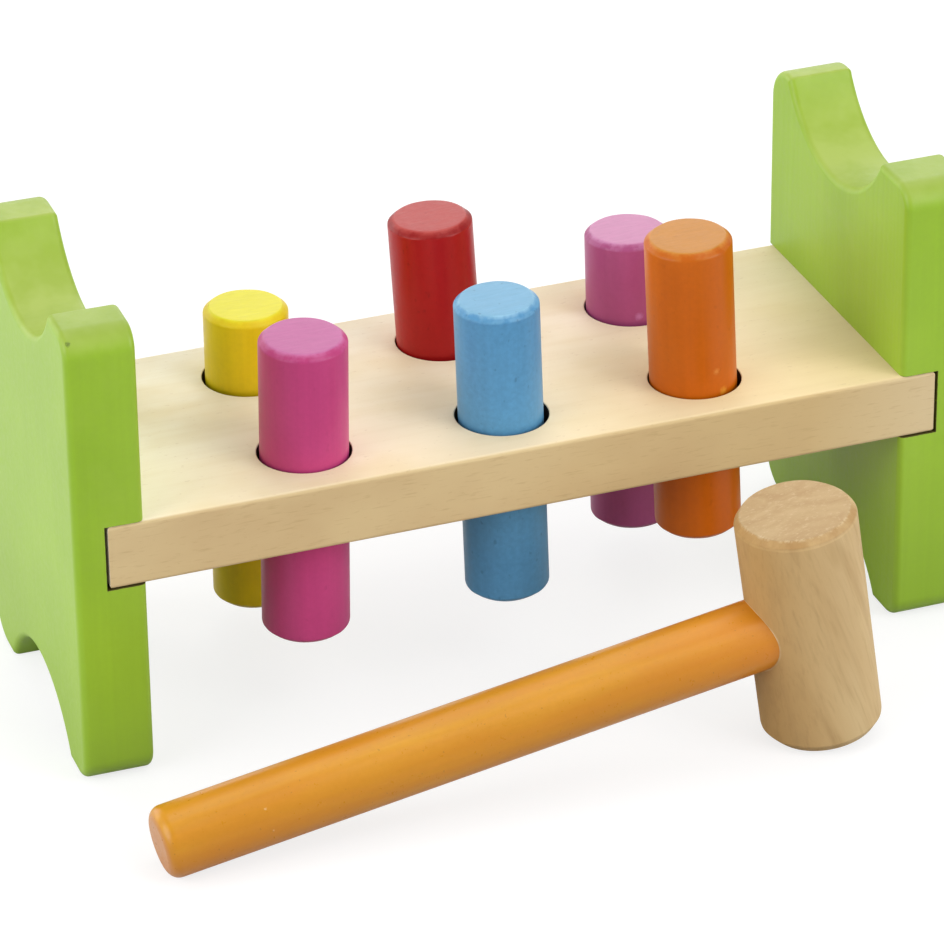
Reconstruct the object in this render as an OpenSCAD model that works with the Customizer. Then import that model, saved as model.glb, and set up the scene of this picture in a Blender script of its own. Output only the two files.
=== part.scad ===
// Peg pounding bench: a painted bench that stands either way up, six loose pegs and a wooden hammer.
// X runs along the bench, Y to the back and Z up. The origin is on the table, in the middle of the
// space that the bench and its hammer cover together.

/* [Bench] */
// Clear length between the two end panels
span_len = 225.8; // [200:0.2:280]
// Thickness of an end panel
panel_t = 20.2; // [16:0.1:26]
// Depth of an end panel, front to back
panel_depth = 95.4; // [93:0.1:120]
// Height of an end panel, and of the whole bench
panel_h = 139.2; // [125:0.1:160]
// Turn of the left end panel out of square, its back end towards the deck board, in degrees
left_panel_turn = 1; // [0:0.1:2]

/* [End panel outline] */
// Width of the scoop at the top of the left end panel, between its horns
left_scoop_w = 59.7; // [34:0.1:62]
// Depth of the scoop of the left end panel
left_scoop_depth = 16.9; // [8:0.1:24]
// Place of that scoop behind the middle of the panel
left_scoop_shift = -1.4; // [-4:0.1:4]
// Width of the scoop at the top of the right end panel, between its horns
right_scoop_w = 62.8; // [34:0.1:64]
// Depth of the scoop of the right end panel
right_scoop_depth = 18.1; // [8:0.1:24]
// Place of that scoop behind the middle of the panel
right_scoop_shift = 3.2; // [-4:0.1:4]
// Width of the arch at the foot of both end panels, between their feet
arch_w = 60.2; // [34:0.1:64]
// Depth of the arches
arch_depth = 17.7; // [8:0.1:24]
// Place of the arches behind the middle of the panels
arch_shift = -1.5; // [-3:0.1:3]
// Radius of the front corners of the horns and feet
front_corner_r = 7; // [3:0.1:10]
// Radius of the back corners of the horns
back_horn_r = 10; // [3:0.1:11]
// Radius of the back corners of the feet
back_foot_r = 13; // [3:0.1:14]
// Radius of the tight corners where the scoop meets the horns
lip_r = 1.2; // [0.6:0.1:2.5]
// Radius that rolls the outline into both flat faces
edge_r = 2; // [0.8:0.1:3]
// Least radius that is left of a corner on the flat faces
least_r = 0.3; // [0.2:0.05:0.5]

/* [Deck board] */
// Thickness of the deck board
deck_t = 19.4; // [15:0.1:26]
// Height of the middle of the deck board above the middle of the end panels
deck_raise = 1.3; // [-3:0.1:3]
// Depth of the deck board, front to back, flush with the panels at the front
deck_depth = 93; // [86:0.5:95]
// Radius of the eased edges of the deck board
deck_edge_r = 1.2; // [0.4:0.1:3]
// Depth of the slot in a panel that takes the deck board
slot_depth = 11.3; // [6:0.1:14]
// Gap between the end of the deck board and the bottom of its slot
slot_end_gap = 0.9; // [0.2:0.1:1.5]
// Gap between the underside of the deck board and its slot
slot_under_gap = 0.8; // [0.2:0.1:1.5]

/* [Peg holes] */
// Distance between neighbouring holes along the bench
pitch_x = 58.8; // [44:0.1:72]
// Distance between the front and the back row of holes
pitch_y = 48.7; // [40:0.1:54]
// Place of the middle holes to the right of the middle of the deck board
holes_right = -0.6; // [-2:0.1:2]
// Gap between a peg and the wall of its hole
hole_gap = 1; // [0.6:0.1:1.6]
// Bevel round the mouths of a hole
hole_bevel = 0.2; // [0.1:0.1:1.2]

/* [Pegs] */
// Diameter of a peg
peg_d = 24.8; // [20:0.1:28]
// Length of a peg
peg_len = 92.6; // [72:0.1:100]
// Bevel at both ends of a peg
peg_bevel = 1.8; // [0.6:0.1:3]
// Height of the yellow peg above the deck board
yellow_rise = 22.1; // [14:0.1:52]
// Height of the red peg above the deck board
red_rise = 39.9; // [14:0.1:52]
// Height of the purple peg above the deck board
purple_rise = 24.6; // [14:0.1:52]
// Height of the pink peg above the deck board
pink_rise = 36.4; // [14:0.1:52]
// Height of the blue peg above the deck board
blue_rise = 36.9; // [14:0.1:52]
// Height of the orange peg above the deck board
orange_rise = 45.6; // [14:0.1:52]

/* [How the pegs lean] */
// Lean of the yellow peg to the right, in degrees
yellow_lean_right = 0.3; // [-3.5:0.1:3.5]
// Lean of the yellow peg to the back, in degrees
yellow_lean_back = 1.1; // [-3.5:0.1:3.5]
// Lean of the red peg to the right, in degrees
red_lean_right = -3; // [-3.5:0.1:3.5]
// Lean of the red peg to the back, in degrees
red_lean_back = 1.2; // [-3.5:0.1:3.5]
// Lean of the purple peg to the right, in degrees
purple_lean_right = -0.5; // [-3.5:0.1:3.5]
// Lean of the purple peg to the back, in degrees
purple_lean_back = 2.1; // [-3.5:0.1:3.5]
// Lean of the pink peg to the right, in degrees
pink_lean_right = 0.4; // [-3.5:0.1:3.5]
// Lean of the pink peg to the back, in degrees
pink_lean_back = -1.6; // [-3.5:0.1:3.5]
// Lean of the blue peg to the right, in degrees
blue_lean_right = -1.9; // [-3.5:0.1:3.5]
// Lean of the blue peg to the back, in degrees
blue_lean_back = -0.7; // [-3.5:0.1:3.5]
// Lean of the orange peg to the right, in degrees
orange_lean_right = -2.7; // [-3.5:0.1:3.5]
// Lean of the orange peg to the back, in degrees
orange_lean_back = -0.3; // [-3.5:0.1:3.5]

/* [Friction rings] */
// Thickness of the rubber cord of a friction ring
ring_cord_d = 3; // [2:0.1:4]
// Gap between a ring and the peg that it grips
grip_gap = 0.05; // [0.03:0.01:0.1]
// Gap between a ring and the groove that holds it
groove_gap = 0.1; // [0.05:0.01:0.2]

/* [Hammer] */
// Diameter of the hammer's head
head_d = 34.4; // [28:0.1:40]
// Length of the hammer's head
head_len = 70.6; // [50:0.1:84]
// Bevel at both ends of the head
head_bevel = 1.9; // [0.8:0.1:3]
// Diameter of the handle
handle_d = 20.6; // [14:0.1:24]
// Length of the handle from the axis of the head to its free end
handle_reach = 194.4; // [150:0.1:215]
// Radius of the handle's rounded free end
handle_end_r = 3.6; // [1:0.1:6]
// Depth of the socket that holds the handle, from the axis of the head to its bottom
socket_past_axis = 6; // [2:0.5:10]
// Bevel on the hidden end of the handle
handle_bevel = 1; // [0.5:0.1:2]
// Glue gap round the handle in its socket
glue_gap = 0.05; // [0.03:0.01:0.1]

/* [Hammer on the table] */
// Distance of the head's axis to the right of the middle of the bench
hammer_right = 64.7; // [40:0.1:75]
// Distance of the head's axis in front of the bench
hammer_front = 45.4; // [35:0.1:70]
// Turn of the handle away from the line of the bench, in degrees
hammer_turn = 1.4; // [0:0.1:5]

/* [Hidden] */
$fn = 96;

// Overrun of every cut past the face that it opens
overrun = 1;
// Straight pieces that stand for each round stretch of an end panel
corner_steps = 8;
lip_steps = 3;
scoop_steps = 28;
edge_steps = 5;

// Heights above the table
deck_mid = panel_h / 2 + deck_raise;
deck_low = deck_mid - deck_t / 2;

// Radii of the hammer
head_r = head_d / 2;
handle_r = handle_d / 2;

// Depth of the bench with its turned panel, then the places of the front of the bench and of the deck
// board's middle. The origin lies half way between the back of the bench and the front of the hammer.
rolled_t = panel_t - edge_r;
rolled_depth = panel_depth - edge_r;
bench_depth = rolled_t * sin(left_panel_turn) + rolled_depth * cos(left_panel_turn) + edge_r;
front_y = (hammer_front + head_r - bench_depth) / 2;
deck_y = front_y + deck_depth / 2;
deck_len = span_len + 2 * (slot_depth - slot_end_gap);

// Radii round a peg's axis
peg_r = peg_d / 2;
hole_r = peg_r + hole_gap;
ring_mid_r = peg_r + grip_gap + ring_cord_d / 2;
groove_r = ring_mid_r + ring_cord_d / 2 + groove_gap;
groove_h = ring_cord_d + 2 * groove_gap;

// Each scoop or arch is its width, its depth and its place behind the panel's middle
left_scoop = [left_scoop_w, left_scoop_depth, left_scoop_shift];
right_scoop = [right_scoop_w, right_scoop_depth, right_scoop_shift];
arch = [arch_w, arch_depth, arch_shift];

// The hammer lies on the lower rim of its head and on the rounded end of its handle: from that rim to
// the middle of the end's rounding
rest_drop = head_len / 2 - handle_r + handle_end_r;
rest_run = handle_reach - handle_end_r - head_r + head_bevel;
hammer_tilt = acos(handle_end_r / norm([rest_drop, rest_run])) - atan2(rest_run, rest_drop);
hammer_z = head_len / 2 * cos(hammer_tilt) + (head_r - head_bevel) * sin(hammer_tilt);

// Points of an arc from one angle to another, both ends included
function arc(mid, r, from, to, steps) = [
    for (i = [0 : steps])
        let (a = from + (to - from) * i / steps)
        [mid[0] + r * cos(a), mid[1] + r * sin(a)]
];

// The upper back quarter of an end panel's outline, drawn in by inset: half the scoop, the lip and the
// outer corner. Each stretch keeps its tangents while it is drawn in.
function quarter(inset, scoop, corner_r) =
    let (
        width = scoop[0],
        depth = scoop[1],
        shift = scoop[2],
        scoop_r = (width * width / 4 + depth * depth) / (2 * depth),
        lip = max(lip_r - inset, least_r),
        corner = max(corner_r - inset, least_r),
        lip_inset = inset + lip,
        lip_drop = scoop_r - depth + lip_inset,
        lip_y = sqrt(pow(scoop_r + lip_inset, 2) - pow(lip_drop, 2)),
        lip_a = atan2(lip_drop, -lip_y),
        corner_inset = inset + corner,
        scoop_mid = [shift, panel_h / 2 - depth + scoop_r],
        lip_mid = [shift + lip_y, panel_h / 2 - lip_inset],
        corner_mid = [panel_depth / 2 - corner_inset, panel_h / 2 - corner_inset]
    )
    concat(
        arc(scoop_mid, scoop_r + inset, 270, lip_a + 180, scoop_steps / 2),
        arc(lip_mid, lip, lip_a, 90, lip_steps),
        arc(corner_mid, corner, 90, 0, corner_steps)
    );

// A list without its first entry, and a list turned about
function rest(list) = [for (i = [1 : len(list) - 1]) list[i]];
function turned(list) = [for (i = [len(list) - 1 : -1 : 0]) list[i]];
function flipped(list, y, z) = [for (p = list) [y * p[0], z * p[1]]];

// The same scoop, seen from the other side of the panel's middle
function seen_from_front(scoop) = [scoop[0], scoop[1], -scoop[2]];

// The whole outline, clockwise from the middle of the scoop, from its four quarters
function outline(inset, scoop) = concat(
    quarter(inset, scoop, back_horn_r),
    turned(rest(flipped(quarter(inset, arch, back_foot_r), 1, -1))),
    flipped(quarter(inset, seen_from_front(arch), front_corner_r), -1, -1),
    turned(rest(flipped(quarter(inset, seen_from_front(scoop), front_corner_r), -1, 1)))
);

// A flat face inside the outline as upright strips, each between a point of the upper half and its
// partner below. The points of the outline are numbered from start.
function upright_strips(start) =
    let (
        n = len(quarter(0, arch, back_foot_r)),
        count = 4 * n - 2,
        right = [for (i = [0 : n - 2]) [i, i + 1, 2 * n - 2 - i, 2 * n - 1 - i]],
        left = [for (i = [0 : n - 2]) [2 * n - 1 + i, 2 * n + i, 4 * n - 3 - i, (4 * n - 2 - i) % count]]
    )
    [for (strip = concat(right, left)) [for (i = strip) start + i]];

// Layers across a panel's thickness: place of the layer and how far its outline is drawn in
function layers() = concat(
    [for (i = [0 : edge_steps])
        let (a = 90 * i / edge_steps)
        [edge_r * (1 - cos(a)), edge_r * (1 - sin(a))]],
    [for (i = [edge_steps : -1 : 0])
        let (a = 90 * i / edge_steps)
        [panel_t - edge_r * (1 - cos(a)), edge_r * (1 - sin(a))]]
);

// A panel blank: scoop on top, arch below, and the outline rolled into both faces. Its inner face is
// on X = 0 and its middle is on Y = 0 and Z = 0.
module panel_blank(scoop) {
    rows = layers();
    count = len(outline(0, scoop));
    points = [for (row = rows) for (p = outline(row[1], scoop)) [row[0], p[0], p[1]]];
    walls = [
        for (k = [0 : len(rows) - 2]) for (i = [0 : count - 1])
            let (j = (i + 1) % count)
            each [
                [k * count + i, (k + 1) * count + i, (k + 1) * count + j],
                [k * count + i, (k + 1) * count + j, k * count + j]
            ]
    ];
    near_face = upright_strips(0);
    far_face = [for (strip = upright_strips((len(rows) - 1) * count)) turned(strip)];
    polyhedron(points, concat(near_face, walls, far_face), convexity = 6);
}

// An end panel, turned about its inner front edge, with the slot for the deck board. The slot is square
// with the board and open at the front and the back.
module end_panel(scoop, turn) {
    lead = overrun + panel_depth * sin(turn);
    difference() {
        translate([0, front_y, panel_h / 2])
            rotate([0, 0, turn])
                translate([0, panel_depth / 2, 0])
                    panel_blank(scoop);
        translate([-lead, front_y - overrun, deck_low - slot_under_gap])
            cube([lead + slot_depth, bench_depth + 2 * overrun, deck_t + slot_under_gap]);
    }
}

module right_end_panel() {
    color([0.57, 0.72, 0.24])
        translate([span_len / 2, 0, 0])
            end_panel(right_scoop, 0);
}

module left_end_panel() {
    color([0.57, 0.72, 0.24])
        mirror([1, 0, 0])
            translate([span_len / 2, 0, 0])
                end_panel(left_scoop, left_panel_turn);
}

// A rectangle with round corners, about its own middle
module round_rectangle(w, h, r) {
    square([w, h - 2 * r], center = true);
    square([w - 2 * r, h], center = true);
    for (x = [-1, 1])
        for (y = [-1, 1])
            translate([x * (w / 2 - r), y * (h / 2 - r)])
                circle(r);
}

// The deck board before it is drilled, about its own middle, with all its edges eased but the end ones
module board_blank() {
    intersection() {
        rotate([90, 0, 90])
            linear_extrude(deck_len, center = true)
                round_rectangle(deck_depth, deck_t, deck_edge_r);
        rotate([90, 0, 0])
            linear_extrude(deck_depth + 2 * overrun, center = true)
                round_rectangle(deck_len, deck_t, deck_edge_r);
    }
}

// One peg hole about its own middle: the bore, its two bevelled mouths and the groove of its ring
module peg_hole() {
    cylinder(h = deck_t + 2 * overrun, r = hole_r, center = true);
    for (side = [0, 1])
        mirror([0, 0, side])
            translate([0, 0, deck_t / 2 - hole_bevel])
                cylinder(h = hole_bevel + overrun, r1 = hole_r, r2 = hole_r + hole_bevel + overrun);
    cylinder(h = groove_h, r = groove_r, center = true);
}

// Places of the holes: column -1 to 1 along the bench, row -1 in front and 1 at the back
function hole_at(column, row) = [holes_right + column * pitch_x, deck_y + row * pitch_y / 2, deck_mid];

module deck_board() {
    color([0.88, 0.79, 0.6])
        difference() {
            translate([0, deck_y, deck_mid])
                board_blank();
            for (column = [-1 : 1])
                for (row = [-1, 1])
                    translate(hole_at(column, row))
                        peg_hole();
        }
}

// A peg: a turned rod, bevelled at both ends, that leans about the ring that grips it
module peg(column, row, rise, lean_right, lean_back) {
    translate(hole_at(column, row))
        rotate([-lean_back, lean_right, 0])
            translate([0, 0, deck_t / 2 + rise - peg_len])
                rotate_extrude()
                    polygon([
                        [0, 0],
                        [peg_r - peg_bevel, 0],
                        [peg_r, peg_bevel],
                        [peg_r, peg_len - peg_bevel],
                        [peg_r - peg_bevel, peg_len],
                        [0, peg_len]
                    ]);
}

module yellow_peg() {
    color([0.93, 0.82, 0.1])
        peg(-1, 1, yellow_rise, yellow_lean_right, yellow_lean_back);
}

module red_peg() {
    color([0.75, 0.12, 0.12])
        peg(0, 1, red_rise, red_lean_right, red_lean_back);
}

module purple_peg() {
    color([0.78, 0.42, 0.7])
        peg(1, 1, purple_rise, purple_lean_right, purple_lean_back);
}

module pink_peg() {
    color([0.82, 0.3, 0.6])
        peg(-1, -1, pink_rise, pink_lean_right, pink_lean_back);
}

module blue_peg() {
    color([0.36, 0.66, 0.85])
        peg(0, -1, blue_rise, blue_lean_right, blue_lean_back);
}

module orange_peg() {
    color([0.9, 0.45, 0.1])
        peg(1, -1, orange_rise, orange_lean_right, orange_lean_back);
}

// A rubber ring in the groove of a peg hole
module friction_ring(column, row) {
    translate(hole_at(column, row))
        rotate_extrude()
            translate([ring_mid_r, 0])
                circle(d = ring_cord_d);
}

module yellow_friction_ring() {
    color([0.12, 0.12, 0.12])
        friction_ring(-1, 1);
}

module red_friction_ring() {
    color([0.12, 0.12, 0.12])
        friction_ring(0, 1);
}

module purple_friction_ring() {
    color([0.12, 0.12, 0.12])
        friction_ring(1, 1);
}

module pink_friction_ring() {
    color([0.12, 0.12, 0.12])
        friction_ring(-1, -1);
}

module blue_friction_ring() {
    color([0.12, 0.12, 0.12])
        friction_ring(0, -1);
}

module orange_friction_ring() {
    color([0.12, 0.12, 0.12])
        friction_ring(1, -1);
}

// Puts a piece of the hammer where the hammer lies: the crossing of its axes goes above the table, and
// the handle slopes down to the left
module lay_hammer() {
    translate([hammer_right, front_y - hammer_front, hammer_z])
        rotate([0, -hammer_tilt, hammer_turn])
            children();
}

// The head: a turned rod, bevelled at both ends, with a blind socket in its side for the handle
module hammer_head() {
    color([0.8, 0.69, 0.5])
        lay_hammer()
            difference() {
                translate([0, 0, -head_len / 2])
                    rotate_extrude()
                        polygon([
                            [0, 0],
                            [head_r - head_bevel, 0],
                            [head_r, head_bevel],
                            [head_r, head_len - head_bevel],
                            [head_r - head_bevel, head_len],
                            [0, head_len]
                        ]);
                translate([socket_past_axis, 0, 0])
                    rotate([0, -90, 0])
                        cylinder(h = socket_past_axis + head_r + overrun, r = handle_r + glue_gap);
            }
}

// The handle: a round rod, bevelled where it is glued in and rounded at its free end
module hammer_handle() {
    handle_len = handle_reach + socket_past_axis;
    color([0.9, 0.58, 0.16])
        lay_hammer()
            translate([socket_past_axis, 0, 0])
                rotate([0, -90, 0])
                    rotate_extrude()
                        union() {
                            polygon([
                                [0, 0],
                                [handle_r - handle_bevel, 0],
                                [handle_r, handle_bevel],
                                [handle_r, handle_len - handle_end_r],
                                [0, handle_len - handle_end_r]
                            ]);
                            translate([0, handle_len - 2 * handle_end_r])
                                square([handle_r - handle_end_r, 2 * handle_end_r]);
                            translate([handle_r - handle_end_r, handle_len - handle_end_r])
                                circle(handle_end_r);
                        }
}

left_end_panel();
right_end_panel();
deck_board();
yellow_peg();
red_peg();
purple_peg();
pink_peg();
blue_peg();
orange_peg();
yellow_friction_ring();
red_friction_ring();
purple_friction_ring();
pink_friction_ring();
blue_friction_ring();
orange_friction_ring();
hammer_head();
hammer_handle();
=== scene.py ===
import math
import random

import bmesh
import bpy
from mathutils import Matrix, Vector


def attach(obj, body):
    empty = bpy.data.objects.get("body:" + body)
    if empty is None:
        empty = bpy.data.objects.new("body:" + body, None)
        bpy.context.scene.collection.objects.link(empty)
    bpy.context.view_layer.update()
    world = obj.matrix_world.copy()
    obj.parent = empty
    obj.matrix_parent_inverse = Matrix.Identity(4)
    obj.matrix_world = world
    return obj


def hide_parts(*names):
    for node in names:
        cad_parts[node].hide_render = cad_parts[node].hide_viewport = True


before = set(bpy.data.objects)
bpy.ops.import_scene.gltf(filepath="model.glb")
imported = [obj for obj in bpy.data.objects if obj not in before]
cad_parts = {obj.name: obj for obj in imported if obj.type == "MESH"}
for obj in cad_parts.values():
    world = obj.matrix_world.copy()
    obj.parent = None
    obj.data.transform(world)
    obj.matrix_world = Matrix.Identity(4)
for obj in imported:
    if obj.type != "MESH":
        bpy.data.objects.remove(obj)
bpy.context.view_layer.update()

MM = 0.001

# Sizes, in millimetres and degrees, as in the CAD where no comment says otherwise
# Distance between the panels' inner faces
SPAN = 225.8
# Thickness, depth and height of a panel, and the left one's turn about its inner front edge
PANEL_T, PANEL_D, PANEL_H = 20.2, 95.4, 139.2
LEFT_TURN = 1.0
# Width, depth and place behind the middle of each scoop, and of the arches
SCOOPS = {"left": (59.7, 16.9, -1.4), "right": (62.8, 18.1, 3.2)}
ARCH = (60.2, 17.7, -1.5)
# Radii of the outline's corners at the front, at the back horns and at the back feet, of the lips and of
# the rolled edges. The last is the least that lips and corners keep where the outline is drawn in
FRONT_R, HORN_R, FOOT_R, LIP_R, EDGE_R, LEAST_R = 7.0, 10.0, 13.0, 1.2, 2.0, 0.3
# Straight pieces that stand for each round stretch of a panel, finer than in the CAD
SCOOP_STEPS, LIP_STEPS, CORNER_STEPS, EDGE_STEPS = 26, 5, 10, 7
# Depth of the slots, and their gap under the board, which is thinner in the photograph than in the CAD
SLOT, SLOT_UNDER = 11.3, 0.3
# Thickness and depth of the board, how far it is above half the height, and its gap at each end
DECK_T, DECK_D, DECK_RAISE, SLOT_END = 19.4, 93.0, 1.3, 0.9
# Distance from hole to hole along and across the board, and how far right the middle holes are
PITCH_X, PITCH_Y, HOLES_RIGHT = 58.8, 48.7, -0.6
# Length of a peg, and its bevel across and along the peg, a little shorter along it than in the CAD
PEG_LEN, PEG_BEVEL, PEG_BEVEL_LEN = 92.6, 1.8, 1.6
# Column, row, height above the deck, lean to the right and to the back, radius, and place aside in
# the hole. Radii, places and the red lean are as in the photograph, and a little off the CAD
PEGS = {
    "yellow": (-1, 1, 22.1, 0.3, 1.1, 12.2, -0.2),
    "red": (0, 1, 39.9, -2.8, 1.2, 12.2, -0.3),
    "purple": (1, 1, 24.6, -0.5, 2.1, 12.4, -0.3),
    "pink": (-1, -1, 36.4, 0.4, -1.6, 12.5, -0.15),
    "blue": (0, -1, 36.9, -1.9, -0.7, 12.1, 0.0),
    "orange": (1, -1, 45.6, -2.7, -0.3, 12.5, 0.0),
}
# Radius and length of the hammer's head, and its bevel across
HEAD_R, HEAD_LEN, HEAD_BEVEL = 17.2, 70.6, 1.9
# Length of the head's bevel along its axis, longer than in the CAD, and how far the head stays
# inside the CAD's
HEAD_CUT, SKIN = 2.4, 0.01
# Radius, reach from the head's axis, rounding of the outer end, and how far the inner end goes past
# the head's axis, with its bevel
HANDLE_R, HANDLE_REACH, HANDLE_END, HANDLE_PAST, HANDLE_BEVEL = 10.3, 194.4, 3.6, 6.0, 1.0
# How far right of the middle and in front of the board the head stands, and the hammer's turn
HAMMER_RIGHT, HAMMER_FRONT, HAMMER_TURN = 64.7, 45.4, 1.4

TURN = math.radians(LEFT_TURN)
BENCH_D = (PANEL_T - EDGE_R) * math.sin(TURN) + (PANEL_D - EDGE_R) * math.cos(TURN) + EDGE_R
FRONT_Y = (HAMMER_FRONT + HEAD_R - BENCH_D) / 2
DECK_Y = FRONT_Y + DECK_D / 2
DECK_MID = PANEL_H / 2 + DECK_RAISE
DECK_LOW, DECK_TOP = DECK_MID - DECK_T / 2, DECK_MID + DECK_T / 2
DECK_LEN = SPAN + 2 * (SLOT - SLOT_END)

# Angles from which on edges stay hard, and how much more large faces count for the normals
PANEL_SHARP, TURNED_SHARP, FACE_WEIGHT = 40.0, 50.0, 80
# How soft the edges of a bevel are, and parts round and along the turned pieces
BEVEL_SOFT = 0.4
PEG_SEGMENTS, HEAD_SEGMENTS, HANDLE_SEGMENTS = 120, 180, 128
PEG_PARTS, HEAD_PARTS, HANDLE_PARTS, HANDLE_END_STEPS = 6, 8, 5, 9
# How far the edges of the head's bevel wander, inner edge and outer rim, and the seed of that
HEAD_WANDER, HEAD_SEED = (0.22, 0.12), 31

# Side of the floor in metres. How light it is to the camera, to gloss and in other bounces, and where
# its shadows end, in metres from the middle
FLOOR_SIZE = 8.0
FLOOR_SHADOW, FLOOR_GLOW = 0.3, 0.75
FLOOR_SHINE, FLOOR_BOUNCE = 0.93, 0.38
SHADOWS_FADE, SHADOWS_END = 0.6, 1.5
# How bright the world is in the shadows and in gloss
WORLD_FILL, WORLD_SHINE = 0.4, 0.6
# Each lamp's place, the height that it aims at and its size in metres, and its power in watts
LAMPS = {
    "key": ((1.45, -1.5, 0.85), 0.05, 1.2, 22.5),
    "back": ((0.75, 2.0, 1.15), 0.08, 1.9, 18.0),
    "left": ((-1.6, -0.3, 0.75), 0.05, 1.3, 19.0),
    "rim": ((-1.3, 1.8, 0.5), 0.08, 1.5, 14.0),
    "top": ((0.25, 0.3, 1.6), 0.08, 1.2, 7.0),
    "front": ((0.75, -1.1, 1.9), 0.08, 1.1, 7.3),
}
# Side of the picture in pixels, lens and frame in millimetres, and clipping in metres
PICTURE_PX = 944
LENS, FRAME_W = 200.666, 36.0
CLIP_NEAR, CLIP_FAR = 0.05, 50.0
# Where the camera is, in millimetres from the middle of the board's upper front edge, and which way its
# right, its top and its view point
CAMERA_PLACE = (-462.6829, -1200.6556, 696.217)
CAMERA_RIGHT = Vector((0.93566441, -0.35274083, -0.01029677))
CAMERA_UP = Vector((0.17776324, 0.44591934, 0.87724351))
CAMERA_AHEAD = Vector((0.30484807, 0.82263591, -0.47993521))

# Mesh helpers


def build(name, points, faces, place, body, node, material, sharp):
    """A mesh that stands for a CAD node. Its points, in millimetres, are in a frame of its own, which
    place puts down. They are kept as own_frame, for the material."""
    own = [Vector(p) * MM for p in points]
    mesh = bpy.data.meshes.new(name)
    mesh.from_pydata([place @ p for p in own], [], faces)
    kept = mesh.attributes.new("own_frame", "FLOAT_VECTOR", "POINT")
    kept.data.foreach_set("vector", [c for p in own for c in p])
    for poly in mesh.polygons:
        poly.use_smooth = True
    mark_sharp(mesh, sharp)
    mesh.materials.append(material)
    obj = bpy.data.objects.new(name, mesh)
    bpy.context.scene.collection.objects.link(obj)
    mod = obj.modifiers.new("weighted normals", "WEIGHTED_NORMAL")
    mod.keep_sharp = True
    mod.weight = FACE_WEIGHT
    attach(obj, body)
    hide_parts(node)


def mark_sharp(mesh, degrees):
    """Turns all faces outwards, and keeps the edges hard whose faces meet at this angle or more."""
    bm = bmesh.new()
    bm.from_mesh(mesh)
    bmesh.ops.recalc_face_normals(bm, faces=bm.faces)
    limit = math.radians(degrees)
    for edge in bm.edges:
        if len(edge.link_faces) == 2:
            edge.smooth = edge.calc_face_angle(0.0) < limit
    bm.to_mesh(mesh)
    bm.free()
    mesh.update()


def arc(mid, r, start, end, steps):
    """Points of an arc between two angles in degrees."""
    out = []
    for i in range(steps + 1):
        a = math.radians(start + (end - start) * i / steps)
        out.append((mid[0] + r * math.cos(a), mid[1] + r * math.sin(a)))
    return out


# Shader helpers


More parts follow.
